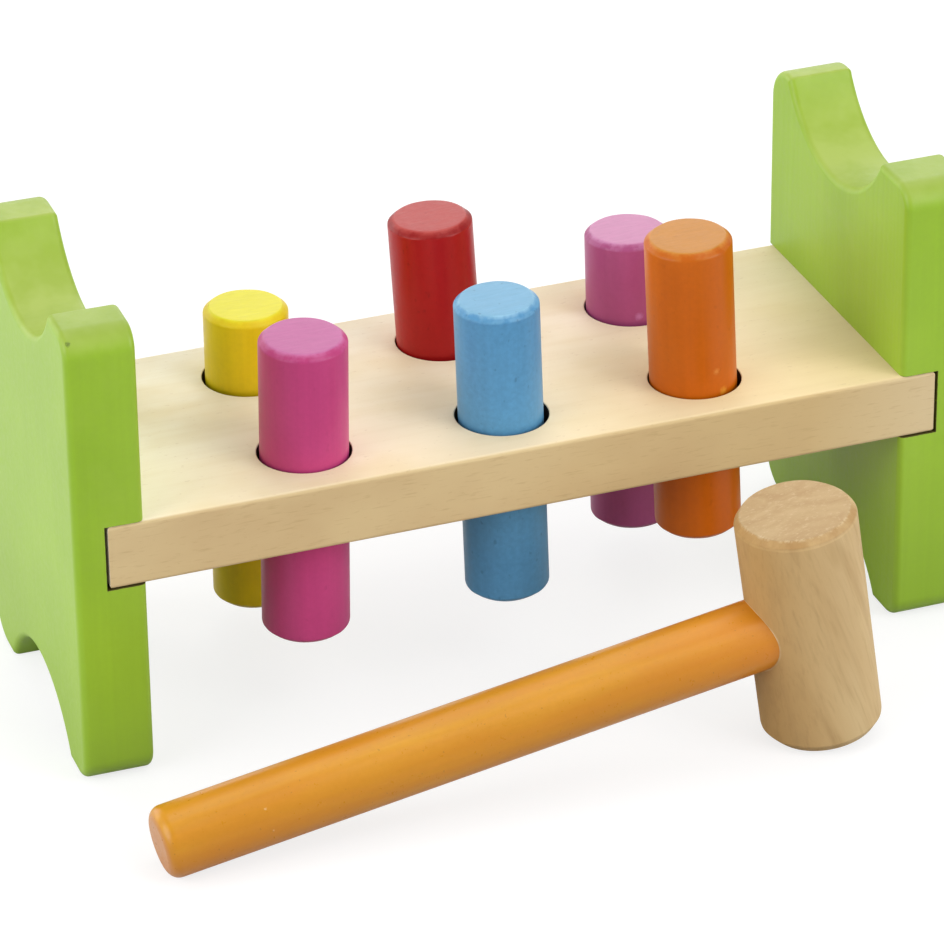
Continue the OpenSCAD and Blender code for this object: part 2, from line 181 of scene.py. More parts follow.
class Shader:
    """Strings procedural nodes together. Its coordinates are the piece's own, as build keeps them, or the
    object's where build didn't make the piece."""

    def __init__(self, name, built=True):
        self.mat = bpy.data.materials.new(name)
        self.mat.use_nodes = True
        self.tree = self.mat.node_tree
        self.tree.nodes.clear()
        self.out = self.add("ShaderNodeOutputMaterial")
        self.bsdf = self.add("ShaderNodeBsdfPrincipled")
        self.link(self.bsdf.outputs[0], self.out.inputs["Surface"])
        if built:
            self.coords = self.add("ShaderNodeAttribute", attribute_name="own_frame").outputs["Vector"]
        else:
            self.coords = self.add("ShaderNodeTexCoord").outputs["Object"]

    def add(self, kind, **settings):
        node = self.tree.nodes.new(kind)
        for key, value in settings.items():
            setattr(node, key, value)
        return node

    def link(self, a, b):
        self.tree.links.new(a, b)

    def put(self, socket, value):
        """Links another node's output to a socket, or sets the socket to a colour or a number."""
        if isinstance(value, bpy.types.NodeSocket):
            self.link(value, socket)
        elif isinstance(value, (tuple, list)) and len(value) == 3 and socket.type == "RGBA":
            socket.default_value = (*value, 1.0)
        else:
            socket.default_value = value

    def math(self, operation, a, b=None, c=None):
        node = self.add("ShaderNodeMath", operation=operation)
        for i, v in enumerate((a, b, c)):
            if v is not None:
                self.put(node.inputs[i], v)
        return node.outputs[0]

    def vec(self, operation, a, b=None):
        node = self.add("ShaderNodeVectorMath", operation=operation)
        self.put(node.inputs[0], a)
        if b is not None:
            self.put(node.inputs[1], b)
        return node.outputs["Value" if operation in ("DISTANCE", "LENGTH") else "Vector"]

    def scaled(self, factors, offset=(0, 0, 0)):
        """The coordinates times factors. Noise of scale 1 then has about that many waves a metre."""
        node = self.add("ShaderNodeMapping")
        self.link(self.coords, node.inputs["Vector"])
        node.inputs["Scale"].default_value = factors
        node.inputs["Location"].default_value = offset
        return node.outputs[0]

    def noise(self, vector, scale, detail=3.0, rough=0.55, distortion=0.0):
        node = self.add("ShaderNodeTexNoise")
        self.put(node.inputs["Vector"], vector)
        node.inputs["Scale"].default_value = scale
        node.inputs["Detail"].default_value = detail
        node.inputs["Roughness"].default_value = rough
        node.inputs["Distortion"].default_value = distortion
        return node.outputs["Fac"]

    def range(self, value, low, high, to_low=0.0, to_high=1.0):
        """Goes evenly from to_low, up to low, to to_high, from high on."""
        node = self.add("ShaderNodeMapRange")
        self.put(node.inputs["Value"], value)
        for key, v in (("From Min", low), ("From Max", high), ("To Min", to_low), ("To Max", to_high)):
            node.inputs[key].default_value = v
        return node.outputs[0]

    def range_mm(self, value, low, high, to_low=0.0, to_high=1.0):
        """The same, with low and high in millimetres."""
        return self.range(value, low * MM, high * MM, to_low, to_high)

    def mix(self, factor, a, b, blend="MIX"):
        node = self.add("ShaderNodeMix", data_type="RGBA", blend_type=blend)
        self.put(node.inputs["Factor"], factor)
        self.put(node.inputs[6], a)
        self.put(node.inputs[7], b)
        return node.outputs[2]

    def grey(self, value):
        node = self.add("ShaderNodeCombineColor")
        for i in range(3):
            self.put(node.inputs[i], value)
        return node.outputs[0]

    def bump(self, height, distance, strength=1.0, normal=None):
        """A normal that follows a height of up to distance, in metres, on top of another normal."""
        node = self.add("ShaderNodeBump")
        node.inputs["Strength"].default_value = strength
        node.inputs["Distance"].default_value = distance
        self.link(height, node.inputs["Height"])
        if normal is not None:
            self.link(normal, node.inputs["Normal"])
        return node.outputs[0]

    def split(self, vector):
        node = self.add("ShaderNodeSeparateXYZ")
        self.link(vector, node.inputs[0])
        return node.outputs


def srgb(code):
    """A linear colour from six hexadecimal digits."""
    out = []
    for i in (0, 2, 4):
        v = int(code[i:i + 2], 16) / 255
        out.append(v / 12.92 if v <= 0.04045 else ((v + 0.055) / 1.055) ** 2.4)
    return tuple(out)


def linear(codes):
    """A table of linear colours by name."""
    return {name: srgb(code) for name, code in codes.items()}


def shade(colour, k):
    """The colour, k times as light."""
    return tuple(min(1.0, c * k) for c in colour)


def surface(s, tone, rough, specular, normal):
    """Sets the surface of a material, and gives the material."""
    s.put(s.bsdf.inputs["Base Color"], tone)
    s.put(s.bsdf.inputs["Roughness"], rough)
    s.put(s.bsdf.inputs["Normal"], normal)
    s.put(s.bsdf.inputs["Specular IOR Level"], specular)
    return s.mat


def near(s, spot, inner, outer):
    """One at a place, in millimetres, and nothing beyond outer. Its edge wanders."""
    away = s.vec("DISTANCE", s.coords, tuple(c * MM for c in spot))
    wobble = s.noise(s.scaled((1, 1, 1)), 1500.0, 2.0, 0.5)
    away = s.math("ADD", away, s.math("MULTIPLY", s.math("SUBTRACT", wobble, 0.5), SPOT_WANDER * MM))
    return s.range_mm(away, inner, outer, 1.0, 0.0)


def flat_end(s, along, high):
    """One on the flat end at this height of a turned piece."""
    return s.range_mm(along, high - 0.35, high - 0.1)


def rim_line(s, along, high, start, full):
    """One on the edge round a flat end, which begins and is full at two distances below the end."""
    return s.math("MULTIPLY", s.range_mm(along, high - start, high - full),
                  s.range_mm(along, high - 0.12, high, 1.0, 0.0))


# Colours of the materials, as a screen shows them
GREENS = linear({
    # Painted light among these: sheen and shade on the outer faces and tops, and shade on the front tops
    # and slot walls
    "coat": "98BF26", "deep coat": "8FB620", "cloud": "B4CC58", "outer face sheen": "A4BF5C",
    "top": "94AA32", "pale top": "A2B54C", "front top shade": "82A022", "worn edge": "C3D873",
    "lower part": "8AA82C", "foot": "5F7424", "chip": "46591C", "slot wall shade": "4A3520",
})
ORANGES = linear({
    # The lower side's colour is painted shade
    "coat": "D8971E", "deep coat": "CE8D18", "shaded lower side": "CC7812", "dark streak": "CB7A16",
    "pale streak": "E2AC3A", "near the head": "D87E1A", "end": "C27F42", "speck": "EBC68C",
    "dust": "8A5A1C",
})
BOARD = linear({
    "pale top": "FFFAEC", "warm top": "EDD39C", "band": "F0DFB6", "cloud": "E7D1A0",
    # The far right edge colour is painted light, and the hole wall colour painted shade
    "edge": "DCC494", "deep edge": "D0B37E", "edge cloud": "C6A67A", "lit far right": "E6D4AE",
    "fleck": "A98658", "fibre": "D9C091", "dot": "B89768", "hole wall shade": "3A2A1C",
})
HEAD = linear({
    # The left side's colour is painted shade
    "side": "DCC292", "deep side": "CEB080", "shaded left side": "C0965A", "streak": "A88350",
    "fibre": "A9875A", "fine grain": "9C7A4C", "end": "C6AA80", "deep end": "B99A70",
    "pale speck": "DFCAA6", "dark speck": "A8865C", "bevel": "AE8450", "burr": "E0CCA4",
    "joint": "EAD7AE",
})
RUBBERS = linear({"dark": "1C1A18", "light": "2A2725"})


def painted(s, colour, deep, grain, seed, mottle):
    """Colour of a brushed or dipped coat, and the height of the grain that shows through it."""
    shift = (seed * 1.7, seed * 0.9, seed * 2.3)
    broad = s.noise(s.scaled((1, 1, 1), shift), 26.0, 2.0, 0.5)
    fine = s.noise(s.scaled((1, 1, 1), shift), 650.0, 3.0, 0.6)
    fibre = s.noise(s.scaled(grain, shift), 1.0, 4.0, 0.62, 0.3)
    tone = s.mix(s.range(broad, 0.32, 0.68), colour, deep)
    speck = s.range(fine, 0.35, 0.65, 1.0 - mottle, 1.0 + mottle)
    lines = s.range(fibre, 0.3, 0.7, 0.97, 1.03)
    return s.mix(1.0, tone, s.grey(s.math("MULTIPLY", speck, lines)), "MULTIPLY"), fine, fibre


def green_paint(name):
    """Lime green coat: paler on worn rolled edges, with a painted sheen on the outer faces, painted sheen
    and shade on top, and darker by the feet. Painted shade darkens the slots. The left panel has one
    small chip."""
    s = Shader(name)
    tone, fine, fibre = painted(s, GREENS["coat"], GREENS["deep coat"], (480, 480, 10), 0.0, 0.015)
    cloud = s.noise(s.scaled((1, 1, 1), (3, 5, 1)), 60.0, 3.0, 0.6)
    tone = s.mix(s.range(cloud, 0.55, 0.75, 0.0, 0.12), tone, GREENS["cloud"])
    x, y, z = s.split(s.coords)
    tone = green_sides(s, tone, cloud, x, y)
    worn = s.add("ShaderNodeNewGeometry").outputs["Pointiness"]
    tone = s.mix(s.range(worn, 0.52, 0.58, 0.0, 0.10), tone, GREENS["worn edge"])
    tone = s.mix(s.range_mm(z, 0, 60, 0.3, 0.0), tone, GREENS["lower part"])
    foot = s.math("MULTIPLY", s.range_mm(z, 0, 3.5, 1.0, 0.0), s.range(cloud, 0.35, 0.6))
    tone = s.mix(s.math("MULTIPLY", foot, 0.35), tone, GREENS["foot"])
    if name == "left_green_paint":
        tone = s.mix(s.math("MULTIPLY", near(s, *CHIP), 0.85), tone, GREENS["chip"])
    # Painted shade: the walls inside the slot are dark
    tone = s.mix(s.math("MULTIPLY", shaded_slot_walls(s, x, z), 0.9), tone, GREENS["slot wall shade"])
    normal = s.bump(fibre, 0.00005, 0.7)
    normal = s.bump(cloud, 0.00025, 0.5, normal)
    return surface(s, tone, s.range(fine, 0.3, 0.7, 0.4, 0.5), 0.5, normal)


def green_sides(s, tone, cloud, x, y):
    """The coat is paler on a panel's outer face by a painted sheen, and duller on top by painted sheen
    and shade, most of all at the front.
    """
    faces_side, _, faces_up = s.split(s.add("ShaderNodeTexCoord").outputs["Normal"])
    # Painted sheen: the coat is paler on a panel's outer face
    outward = s.math("MULTIPLY_ADD", s.math("SIGN", x), faces_side, 1.0)
    outer = s.range(s.math("ABSOLUTE", outward), 1.75, 1.95)
    tone = s.mix(s.math("MULTIPLY", outer, 0.3), tone, GREENS["outer face sheen"])
    # Painted sheen and shade: upward faces take a duller green
    top = s.mix(s.range(cloud, 0.4, 0.6), GREENS["top"], GREENS["pale top"])
    tone = s.mix(s.range(faces_up, 0.15, 1.0), tone, top)
    # More painted shade on the tops towards the front
    front = s.range_mm(y, FRONT_Y + 25, FRONT_Y + 60, 0.4, 0.0)
    return s.mix(s.math("MULTIPLY", s.range(faces_up, 0.45, 1.0), front), tone, GREENS["front top shade"])


def shaded_slot_walls(s, x, z):
    """One on the walls of a panel's slot, which take a painted shade, with a thin ragged rim of sawn wood
    round its mouth.
    """
    noise = s.noise(s.scaled((1, 1, 1)), 900.0, 2.0, 0.6)
    ragged = s.math("MULTIPLY_ADD", noise, SLOT_RAGGED * MM, -SLOT_RAGGED / 2 * MM)
    high, across = s.math("ADD", z, ragged), s.math("ADD", s.math("ABSOLUTE", x), ragged)
    low_wall, end_wall = DECK_LOW - SLOT_UNDER, SPAN / 2 + SLOT
    inside = s.range_mm(high, low_wall - 0.12, low_wall - 0.06)
    inside = s.math("MULTIPLY", inside, s.range_mm(high, DECK_TOP - 0.02, DECK_TOP + 0.06, 1.0, 0.0))
    return s.math("MULTIPLY", inside, s.range_mm(across, end_wall + 0.02, end_wall + 0.1, 1.0, 0.0))


def peg_paint(colour, high, number):
    """A dipped coat: matt and paler on the end grain at the top, rubbed pale along the bevel, and darker
    there by painted shade.
    """
    side, deep, top, rub = PEG_COLOURS[colour]
    s = Shader(f"{colour}_paint")
    tone, fine, fibre = painted(s, srgb(side), srgb(deep), (420, 420, 9), number + 1.0, MOTTLE[colour])
    z = s.split(s.coords)["Z"]
    end = flat_end(s, z, high)
    slant = s.noise(s.scaled((150, 900, 60), (number, 0, 0)), 1.0, 4.0, 0.6, 0.5)
    cap = s.mix(s.range(slant, 0.3, 0.7), srgb(top), shade(srgb(top), 0.9))
    tone = s.mix(end, tone, cap)
    patch = s.noise(s.scaled((1, 1, 1), (number, 1, 2)), 240.0, 3.0, 0.6)
    line = rim_line(s, z, high, 0.9, 0.25)
    # Painted shade on the bevel, which faces the light more than the side
    bevel = s.range_mm(z, high - PEG_BEVEL - 0.1, high - PEG_BEVEL + 0.3, 1.0, BEVEL_SHADE[colour])
    below_end = s.math("SUBTRACT", 1.0, end)
    tone = s.mix(below_end, tone, s.mix(1.0, tone, s.grey(bevel), "MULTIPLY"))
    rubbed = s.math("MULTIPLY", line, s.range(patch, 0.35, 0.6, 0.15, 0.8))
    tone = s.mix(rubbed, tone, srgb(rub))
    band = s.range_mm(z, high - 2.1, high - 1.7)
    band = s.math("MULTIPLY", band, s.range(patch, 0.42, 0.55, 0.0, 0.2))
    tone = s.mix(s.math("MULTIPLY", band, below_end), tone, srgb(rub))
    dust = s.noise(s.scaled((1, 1, 0.6), (number, 3, 4)), 620.0, 1.0, 0.5)
    tone = s.mix(s.range(dust, 0.7, 0.78, 0.0, DUST[colour]), tone, shade(srgb(deep), 0.45))
    for spot, inner, outer, mark in SCUFFS.get(colour, ()):
        tone = s.mix(s.math("MULTIPLY", near(s, spot, inner, outer), 0.7), tone, srgb(mark))
    rough = s.math("ADD", s.range(fine, 0.3, 0.7, 0.33, 0.42), s.math("MULTIPLY", end, 0.06))
    normal = s.bump(fibre, 0.00004, 0.7)
    normal = s.bump(s.noise(s.scaled((1, 1, 1), (number, 2, 1)), 150.0, 2.0, 0.5), 0.00018, 0.6, normal)
    normal = s.bump(s.math("MULTIPLY", slant, end), 0.00008, 0.6, normal)
    return surface(s, tone, rough, s.range(end, 0.0, 1.0, 0.25, 0.38), normal)


def handle_paint():
    """A glossier coat with a few specks, painted shade on its lower side, and a paler end."""
    s = Shader("handle_paint")
    tone, fine, fibre = painted(s, ORANGES["coat"], ORANGES["deep coat"], (420, 420, 9), 7.0, 0.02)
    x, _, z = s.split(s.coords)
    # Painted shade: the handle's lower side is darker and redder
    low = s.range_mm(x, -HANDLE_R, 0.3 * HANDLE_R, 0.85, 0.0)
    tone = s.mix(low, tone, ORANGES["shaded lower side"])
    streak = s.noise(s.scaled((95, 95, 9), (2, 2, 2)), 1.0, 3.0, 0.55, 0.4)
    tone = s.mix(s.range(streak, 0.42, 0.62, 0.0, 0.45), tone, ORANGES["dark streak"])
    tone = s.mix(s.range(streak, 0.25, 0.42, 0.4, 0.0), tone, ORANGES["pale streak"])
    tone = s.mix(s.range_mm(z, 15, 60, 0.55, 0.0), tone, ORANGES["near the head"])
    end = s.range_mm(z, HANDLE_REACH - 0.9, HANDLE_REACH - 0.15)
    tone = s.mix(s.math("MULTIPLY", end, 0.85), tone, ORANGES["end"])
    for spot in HANDLE_SPECKS:
        tone = s.mix(near(s, spot, 0.0, 0.45), tone, ORANGES["speck"])
    dust = s.noise(s.scaled((1, 1, 1), (4, 4, 4)), 900.0, 1.0, 0.5)
    tone = s.mix(s.range(dust, 0.74, 0.78, 0.0, 0.35), tone, ORANGES["dust"])
    normal = s.bump(fibre, 0.00004, 0.7)
    normal = s.bump(s.noise(s.scaled((1, 1, 0.3)), 120.0, 2.0, 0.5), 0.0002, 0.6, normal)
    return surface(s, tone, s.range(fine, 0.3, 0.7, 0.27, 0.36), 0.42, normal)


def deck_wood():
    """Pale sanded wood: faint soft bands along the board, fine fibres, and short flecks on its darker
    edges, which painted light makes paler at the right end. The walls of the holes are dark with painted
    shade."""
    s = Shader("deck_wood", built=False)
    _, ny, nz = s.split(s.add("ShaderNodeTexCoord").outputs["Normal"])
    x, y, _ = s.split(s.coords)
    edge = s.range(s.math("ABSOLUTE", ny), 0.35, 0.75)
    broad = s.noise(s.scaled((3, 14, 14)), 1.0, 3.0, 0.5, 0.6)
    cloud = s.noise(s.scaled((22, 34, 34)), 1.0, 3.0, 0.55)
    fibre = s.noise(s.scaled((16, 420, 420)), 1.0, 3.0, 0.6, 0.1)
    dots = s.noise(s.scaled((420, 1100, 1100)), 1.0, 2.0, 0.6)
    dashes = s.noise(s.scaled((150, 1500, 1500)), 1.0, 2.0, 0.6)
    warm = s.range_mm(s.math("MULTIPLY_ADD", y, -2.0, x), -230, 160)
    tone = s.mix(warm, BOARD["pale top"], BOARD["warm top"])
    tone = s.mix(s.range(broad, 0.38, 0.62, 0.0, 0.4), tone, BOARD["band"])
    tone = s.mix(s.range(cloud, 0.42, 0.68, 0.0, 0.55), tone, BOARD["cloud"])
    side = s.mix(s.range(broad, 0.38, 0.62), BOARD["edge"], BOARD["deep edge"])
    side = s.mix(s.range(cloud, 0.45, 0.7, 0.0, 0.4), side, BOARD["edge cloud"])
    # Painted light: the board's edges are paler towards its right end
    side = s.mix(s.range_mm(x, 85, 120, 0.0, 0.5), side, BOARD["lit far right"])
    side = s.mix(s.range(dashes, 0.58, 0.7, 0.0, 0.22), side, BOARD["fleck"])
    tone = s.mix(edge, tone, side)
    tone = s.mix(s.range(fibre, 0.45, 0.8, 0.0, 0.12), tone, BOARD["fibre"])
    tone = s.mix(s.range(dots, 0.66, 0.74, 0.0, 0.2), tone, BOARD["dot"])
    # Painted shade: the walls of the holes are dark
    tone = s.mix(shaded_hole_walls(s, x, y, nz), tone, BOARD["hole wall shade"])
    normal = s.bump(fibre, 0.00004, 0.8)
    normal = s.bump(dashes, -0.00004, 0.5, normal)
    normal = s.bump(cloud, 0.0003, 0.4, normal)
    return surface(s, tone, s.range(fibre, 0.3, 0.7, 0.55, 0.68), 0.22, normal)


def shaded_hole_walls(s, x, y, faces_up):
    """One on the upright faces inside the board, which are the walls of its holes, where painted shade
    goes.
    """
    inside = s.range(s.math("ABSOLUTE", faces_up), 0.5, 0.75, 1.0, 0.0)
    for value, low, high in ((y, FRONT_Y, FRONT_Y + DECK_D), (x, -DECK_LEN / 2, DECK_LEN / 2)):
        inside = s.math("MULTIPLY", inside, s.range_mm(value, low + 2, low + 3))
        inside = s.math("MULTIPLY", inside, s.range_mm(value, high - 3, high - 2, 1.0, 0.0))
    return inside


def head_wood():
    """Turned wood whose grain slants across the head. The upper end is speckled, with a pale burr."""
    s = Shader("head_wood")
    x, y, z = s.split(s.coords)
    tone, fibre, fine = slanting_grain(s, x)
    end = flat_end(s, z, HEAD_LEN / 2)
    pores = s.noise(s.scaled((700, 1300, 300)), 1.0, 3.0, 0.65)
    tone = s.mix(end, tone, speckled_end(s, pores))
    patch = s.noise(s.scaled((1, 1, 1), (1, 7, 2)), 95.0, 4.0, 0.62)
    cut = HEAD_LEN / 2 - HEAD_CUT
    bevel = s.math("MULTIPLY", s.range_mm(z, cut, cut + 0.5), s.math("SUBTRACT", 1.0, end))
    tone = s.mix(s.math("MULTIPLY", bevel, s.range(patch, 0.38, 0.62, 0.05, 0.65)), tone, HEAD["bevel"])
    burr = rim_line(s, z, HEAD_LEN / 2, 0.75, 0.3)
    tone = s.mix(s.math("MULTIPLY", burr, s.range(pores, 0.48, 0.6, 0.0, 0.42)), tone, HEAD["burr"])
    joint = s.math("MULTIPLY", handle_joint(s, x, y, z), s.range(patch, 0.42, 0.55, 0.1, 0.8))
    tone = s.mix(joint, tone, HEAD["joint"])
    normal = s.bump(fibre, 0.00008, 0.8)
    normal = s.bump(fine, 0.00005, 0.7, normal)
    normal = s.bump(s.math("MULTIPLY", patch, s.math("MAXIMUM", bevel, burr)), 0.0004, 0.7, normal)
    return surface(s, tone, s.range(fine, 0.3, 0.7, 0.55, 0.7), 0.2, normal)


def slanting_grain(s, x):
    """Colour of the head's side, darker to the left by painted shade, and the heights of its fibres and
    fine grain.
    """
    slope = s.add("ShaderNodeMapping")
    s.link(s.coords, slope.inputs["Vector"])
    slope.inputs["Rotation"].default_value = (math.radians(-5), math.radians(14), 0)
    along = slope.outputs[0]
    fibre = s.noise(s.vec("MULTIPLY", along, (300, 300, 13)), 1.0, 4.0, 0.6, 0.35)
    fine = s.noise(s.vec("MULTIPLY", along, (900, 900, 55)), 1.0, 3.0, 0.6, 0.1)
    broad = s.noise(s.vec("MULTIPLY", along, (42, 42, 9)), 1.0, 3.0, 0.5, 0.4)
    streak = s.noise(s.vec("MULTIPLY", along, (110, 110, 14)), 1.0, 2.0, 0.5, 0.8)
    tone = s.mix(s.range(broad, 0.35, 0.65), HEAD["side"], HEAD["deep side"])
    # Painted shade: the head is darker on its left side
    tone = s.mix(s.range_mm(x, -0.9 * HEAD_R, 0.3 * HEAD_R, 0.8, 0.0), tone, HEAD["shaded left side"])
    tone = s.mix(s.range(streak, 0.56, 0.66, 0.0, 0.25), tone, HEAD["streak"])
    tone = s.mix(s.range(fibre, 0.48, 0.7, 0.0, 0.26), tone, HEAD["fibre"])
    return s.mix(s.range(fine, 0.52, 0.75, 0.0, 0.22), tone, HEAD["fine grain"]), fibre, fine


def speckled_end(s, pores):
    """Colour of the head's upper end."""
    swirl = s.noise(s.scaled((60, 120, 40)), 1.0, 3.0, 0.6, 1.0)
    cap = s.mix(s.range(swirl, 0.35, 0.65), HEAD["end"], HEAD["deep end"])
    cap = s.mix(s.range(pores, 0.56, 0.7, 0.0, 0.4), cap, HEAD["pale speck"])
    return s.mix(s.range(pores, 0.25, 0.4, 0.35, 0.0), cap, HEAD["dark speck"])


def handle_joint(s, x, y, z):
    """One on the head's side where the handle goes in, and nothing from 0.55 mm round it on."""
    away = s.math("SQRT", s.math("ADD", s.math("MULTIPLY", y, y), s.math("MULTIPLY", z, z)))
    ring = s.range_mm(away, HANDLE_R, HANDLE_R + 0.55, 1.0, 0.0)
    return s.math("MULTIPLY", ring, s.range_mm(x, 0, 1, 1.0, 0.0))


def rubber():
    """Matt black rubber."""
    s = Shader("ring_rubber", built=False)
    grit = s.noise(s.scaled((1, 1, 1)), 900.0, 2.0, 0.6)
    tone = s.mix(s.range(grit, 0.3, 0.7), RUBBERS["dark"], RUBBERS["light"])
    return surface(s, tone, s.range(grit, 0.3, 0.7, 0.7, 0.85), 0.4, s.bump(grit, 0.00005, 0.6))


# How far the edge of a spot and the rim of a slot wander, in millimetres
SPOT_WANDER, SLOT_RAGGED = 1.2, 0.3
# The chip at the left panel's top: its place, and its inner and outer radius, in millimetres
CHIP = ((-SPAN / 2 - PANEL_T + 1.9, FRONT_Y + 2.1, PANEL_H - 2.1), 0.3, 0.9)
# Side, deep side, end grain and rubbed bevel of each peg
PEG_COLOURS = {
    "yellow": ("EACB16", "DAB910", "E0D612", "EADC28"),
    "red": ("AA1414", "9A0E10", "AE3833", "B84A44"),
    "purple": ("B6588B", "AA4E80", "C680A8", "D090B8"),
    "pink": ("CA4884", "BC3E78", "BC6096", "CC74A6"),
    "blue": ("5C9AC6", "5290BD", "72A8C8", "98C6DE"),
    "orange": ("CC6606", "C05B03", "C17F22", "D08A38"),
}
# How light the bevel is against the side: a painted shade on the bevel
BEVEL_SHADE = {"yellow": 0.95, "red": 0.7, "purple": 0.9, "pink": 0.88, "blue": 0.95, "orange": 0.88}
# How strong the dust and the mottled tone are
DUST = {"yellow": 0.05, "red": 0.3, "purple": 0.1, "pink": 0.1, "blue": 0.4, "orange": 0.15}
MOTTLE = {"yellow": 0.02, "red": 0.035, "purple": 0.02, "pink": 0.02, "blue": 0.05, "orange": 0.025}
# How far the edges of the bevels wander: inner edge, outer rim
PEG_WANDER = {"yellow": (0.1, 0.05), "red": (0.25, 0.16), "purple": (0.1, 0.06),
              "pink": (0.08, 0.05), "blue": (0.14, 0.08), "orange": (0.1, 0.06)}
# Place, inner and outer radius in millimetres, and colour of each scuff
SCUFFS = {
    "orange": (((2.3, -12.3, 17.3), 0.3, 1.3, "D98A3C"), ((4.5, -11.7, 10.3), 0.4, 1.6, "E09A30")),
    "purple": (((-1.5, -12.4, 11.7), 0.3, 1.5, "C47CB4"),),
}
# Places of the pale specks on the handle, in millimetres
HANDLE_SPECKS = ((5.52, -8.46, 165.5), (-0.74, -10.07, 164.9))
PANEL_PAINT = {"left": green_paint("left_green_paint"), "right": green_paint("right_green_paint")}
DECK_WOOD = deck_wood()
RUBBER = rubber()

# End panels


def quarter(inset, scoop, corner_r):
    """The upper back quarter of a panel's outline, drawn in by inset: half the scoop, lip and corner."""
    width, depth, shift = scoop
    r = (width ** 2 / 4 + depth ** 2) / (2 * depth)
    lip = max(LIP_R - inset, LEAST_R)
    corner = max(corner_r - inset, LEAST_R)
    drop = r - depth + inset + lip
    y = math.sqrt((r + inset + lip) ** 2 - drop ** 2)
    a = math.degrees(math.atan2(drop, -y))
    points = arc((shift, PANEL_H / 2 - depth + r), r + inset, 270, a + 180, SCOOP_STEPS)
    points += arc((shift + y, PANEL_H / 2 - inset - lip), lip, a, 90, LIP_STEPS)
    mid = (PANEL_D / 2 - inset - corner, PANEL_H / 2 - inset - corner)
    return points + arc(mid, corner, 90, 0, CORNER_STEPS)


def upper_line(inset, scoop, back_r):
    """The upper edge of the outline, from the front to the back. An arch is a scoop upside down."""
    width, depth, shift = scoop
    back = quarter(inset, scoop, back_r)
    front = quarter(inset, (width, depth, -shift), FRONT_R)
    return [(-y, z) for y, z in front[::-1]][:-1] + back


def panel_rows():
    """Layers across the thickness: place, and how far the outline is drawn in."""
    rolled = []
    for i in range(EDGE_STEPS + 1):
        a = math.pi / 2 * i / EDGE_STEPS
        rolled.append((EDGE_R * (1 - math.cos(a)), EDGE_R * (1 - math.sin(a))))
    return rolled + [(SLOT, 0.0)] + [(PANEL_T - x, inset) for x, inset in reversed(rolled)]


